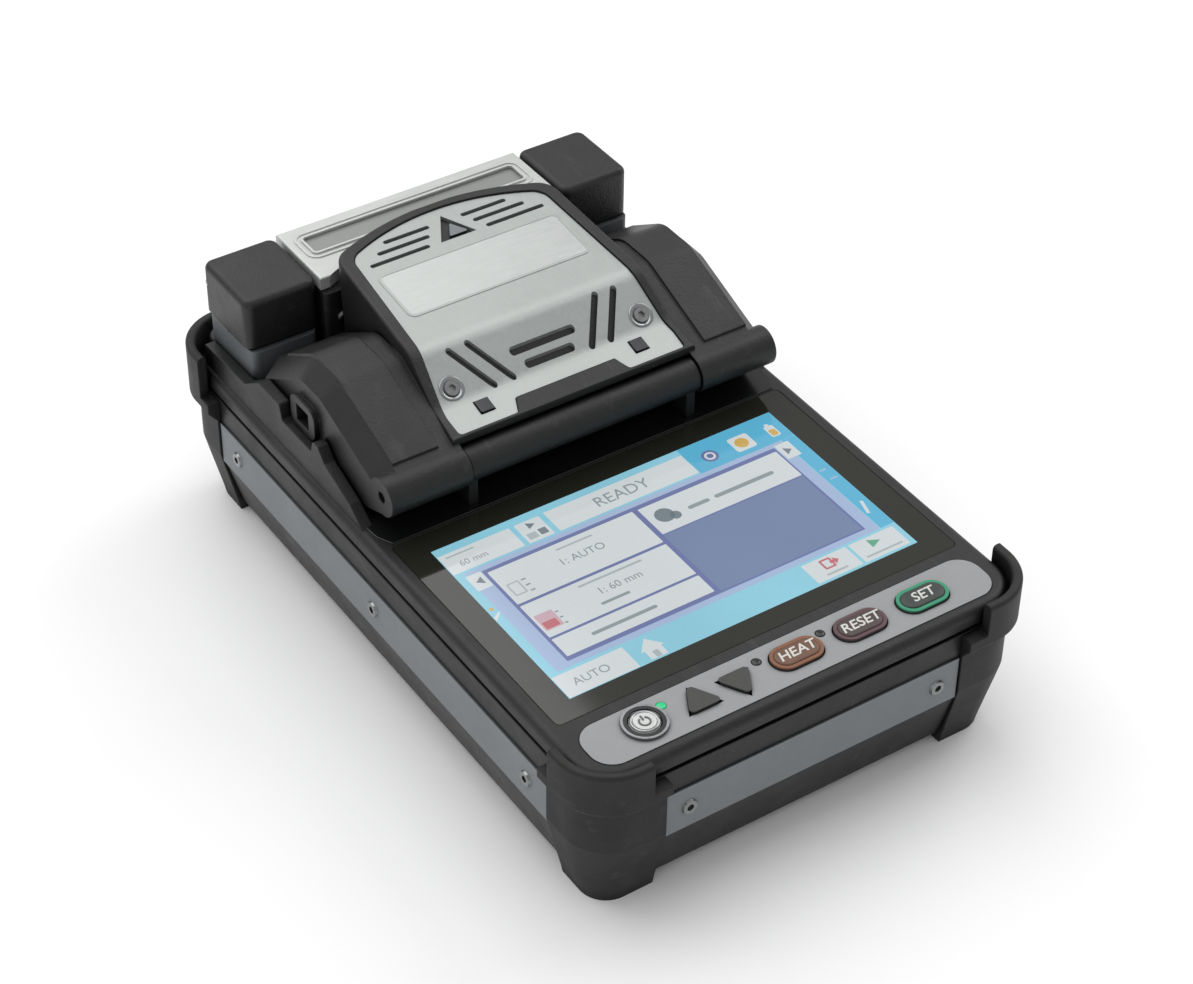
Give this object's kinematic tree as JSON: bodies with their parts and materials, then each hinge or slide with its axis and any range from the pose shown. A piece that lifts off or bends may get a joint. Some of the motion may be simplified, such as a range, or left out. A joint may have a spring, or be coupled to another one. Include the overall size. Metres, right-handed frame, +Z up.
{
  "type": "fiber fusion splicer",
  "caption": "Rubber-cornered optical fiber fusion splicer with a touch screen, button row, hinged wind protector, tube heater and slide-out battery.",
  "frame": {"origin": "centre of the footprint, on the surface the splicer stands on", "axes": "+X to the operator's right along the hinge of the wind protector, +Y from the button row to the heater and battery end, +Z up"},
  "size_m": [0.131, 0.2006, 0.0801],
  "materials": {
    "case_black": "fine-grained satin",
    "cover_black": "semi-gloss",
    "bumper_rubber": "fine-grained matt",
    "strip_grey": "satin",
    "panel_grey": "satin",
    "screws_steel": "zinc plated",
    "glass_dark": "polished",
    "lcd_face": "polished",
    "led_lens": "diffuse lens",
    "plate_metal": "satin anodised",
    "lid_metal": "satin anodised",
    "lid_window": "smoked",
    "power_chrome": "polished",
    "power_white": "glossy",
    "key_grey": "satin",
    "rim_orange": "glossy",
    "rim_maroon": "glossy",
    "rim_green": "glossy",
    "board_green": "solder resist",
    "pin_steel": "ground",
    "bay_metal": "black anodised",
    "groove_ceramic": "ceramic white",
    "clamp_dark": "satin",
    "thumb_brass": "knurled",
    "lens_metal": "black anodised",
    "heater_body": "heat-resistant",
    "heater_metal": "bare",
    "seat_grey": "satin",
    "port_metal": "nickel",
    "latch_grey": "satin"
  },
  "bodies": {
    "chassis": {"lower_case": "case_black", "upper_case": "case_black", "hinge_bar": "case_black", "bumper_front_left": "bumper_rubber", "bumper_front_right": "bumper_rubber", "bumper_rear_left": "bumper_rubber", "bumper_rear_right": "bumper_rubber", "strip_front": "strip_grey", "strip_left": "strip_grey", "strip_right": "strip_grey", "button_panel": "panel_grey", "strip_screws": "screws_steel", "heater_screws": "screws_steel", "case_screws": "screws_steel", "display_glass": "glass_dark", "lcd_module": "lcd_face", "status_leds": "led_lens", "power_button_bezel": "power_chrome", "main_board": "board_green", "keypad_board": "board_green", "hinge_pin": "pin_steel", "heater_hinge_pin": "pin_steel", "sheath_clamp_pins": "pin_steel", "electrodes": "pin_steel", "splice_base": "bay_metal", "sheath_clamp_bases": "bay_metal", "electrode_holders": "bay_metal", "camera_modules": "bay_metal", "v_groove_block": "groove_ceramic", "electrode_thumb_screws": "thumb_brass", "tripod_insert": "thumb_brass", "objective_lenses": "lens_metal", "heater_base": "heater_body", "heater_plate": "heater_metal", "heater_clamp_seats": "seat_grey", "dc_jack": "port_metal", "usb_port": "port_metal"},
    "wind_protector": {"wind_protector_frame": "cover_black", "wind_protector_plate": "plate_metal", "cover_screws": "screws_steel", "cover_posts": "clamp_dark", "fiber_press_arms": "clamp_dark"},
    "sheath_lid_left": {"sheath_clamp_lid_left": "clamp_dark"},
    "sheath_lid_right": {"sheath_clamp_lid_right": "clamp_dark"},
    "heater_lid": {"heater_lid": "lid_metal", "heater_lid_window": "lid_window"},
    "heater_clamp_left": {"heater_clamp_left": "cover_black"},
    "heater_clamp_right": {"heater_clamp_right": "cover_black"},
    "power_key": {"power_button": "power_white"},
    "up_key": {"up_button": "key_grey"},
    "down_key": {"down_button": "key_grey"},
    "heat_key": {"heat_button": "key_grey", "heat_button_rim": "rim_orange"},
    "reset_key": {"reset_button": "key_grey", "reset_button_rim": "rim_maroon"},
    "set_key": {"set_button": "key_grey", "set_button_rim": "rim_green"},
    "battery": {"battery_pack": "case_black", "battery_strips": "strip_grey"},
    "battery_latch": {"battery_latch": "latch_grey"}
  },
  "joints": [
    {"name": "wind_protector_hinge", "type": "hinge", "parent": "chassis", "child": "wind_protector", "pos_m": [0, 0.0032, 0.056], "axis": [1, 0, 0], "range_deg": [0, 95]},
    {"name": "sheath_lid_left_hinge", "type": "hinge", "parent": "chassis", "child": "sheath_lid_left", "pos_m": [-0.035, 0.0515, 0.059], "axis": [-1, 0, 0], "range_deg": [0, 86]},
    {"name": "sheath_lid_right_hinge", "type": "hinge", "parent": "chassis", "child": "sheath_lid_right", "pos_m": [0.035, 0.0515, 0.059], "axis": [-1, 0, 0], "range_deg": [0, 86]},
    {"name": "heater_lid_hinge", "type": "hinge", "parent": "chassis", "child": "heater_lid", "pos_m": [0, 0.0895, 0.0676], "axis": [-1, 0, 0], "range_deg": [0, 85]},
    {"name": "heater_clamp_left_hinge", "type": "hinge", "parent": "chassis", "child": "heater_clamp_left", "pos_m": [-0.0475, 0.0895, 0.0676], "axis": [-1, 0, 0], "range_deg": [0, 85]},
    {"name": "heater_clamp_right_hinge", "type": "hinge", "parent": "chassis", "child": "heater_clamp_right", "pos_m": [0.0475, 0.0895, 0.0676], "axis": [-1, 0, 0], "range_deg": [0, 85]},
    {"name": "power_key_press", "type": "slide", "parent": "chassis", "child": "power_key", "axis": [0, 0, -1], "range_m": [0, 0.0006], "stiffness_N_per_m": 1500},
    {"name": "up_key_press", "type": "slide", "parent": "chassis", "child": "up_key", "axis": [0, 0, -1], "range_m": [0, 0.0006], "stiffness_N_per_m": 1500},
    {"name": "down_key_press", "type": "slide", "parent": "chassis", "child": "down_key", "axis": [0, 0, -1], "range_m": [0, 0.0006], "stiffness_N_per_m": 1500},
    {"name": "heat_key_press", "type": "slide", "parent": "chassis", "child": "heat_key", "axis": [0, 0, -1], "range_m": [0, 0.0006], "stiffness_N_per_m": 1500},
    {"name": "reset_key_press", "type": "slide", "parent": "chassis", "child": "reset_key", "axis": [0, 0, -1], "range_m": [0, 0.0006], "stiffness_N_per_m": 1500},
    {"name": "set_key_press", "type": "slide", "parent": "chassis", "child": "set_key", "axis": [0, 0, -1], "range_m": [0, 0.0006], "stiffness_N_per_m": 1500},
    {"name": "battery_slide", "type": "slide", "parent": "chassis", "child": "battery", "axis": [0, 1, 0], "range_m": [0, 0.075]},
    {"name": "battery_latch_slide", "type": "slide", "parent": "battery", "child": "battery_latch", "axis": [0, 0, -1], "range_m": [0, 0.0014], "stiffness_N_per_m": 400}
  ],
  "couplings": [
    {"joint": "sheath_lid_left_hinge", "follows": "wind_protector_hinge", "ratio": 0.9},
    {"joint": "sheath_lid_right_hinge", "follows": "wind_protector_hinge", "ratio": 0.9}
  ]
}
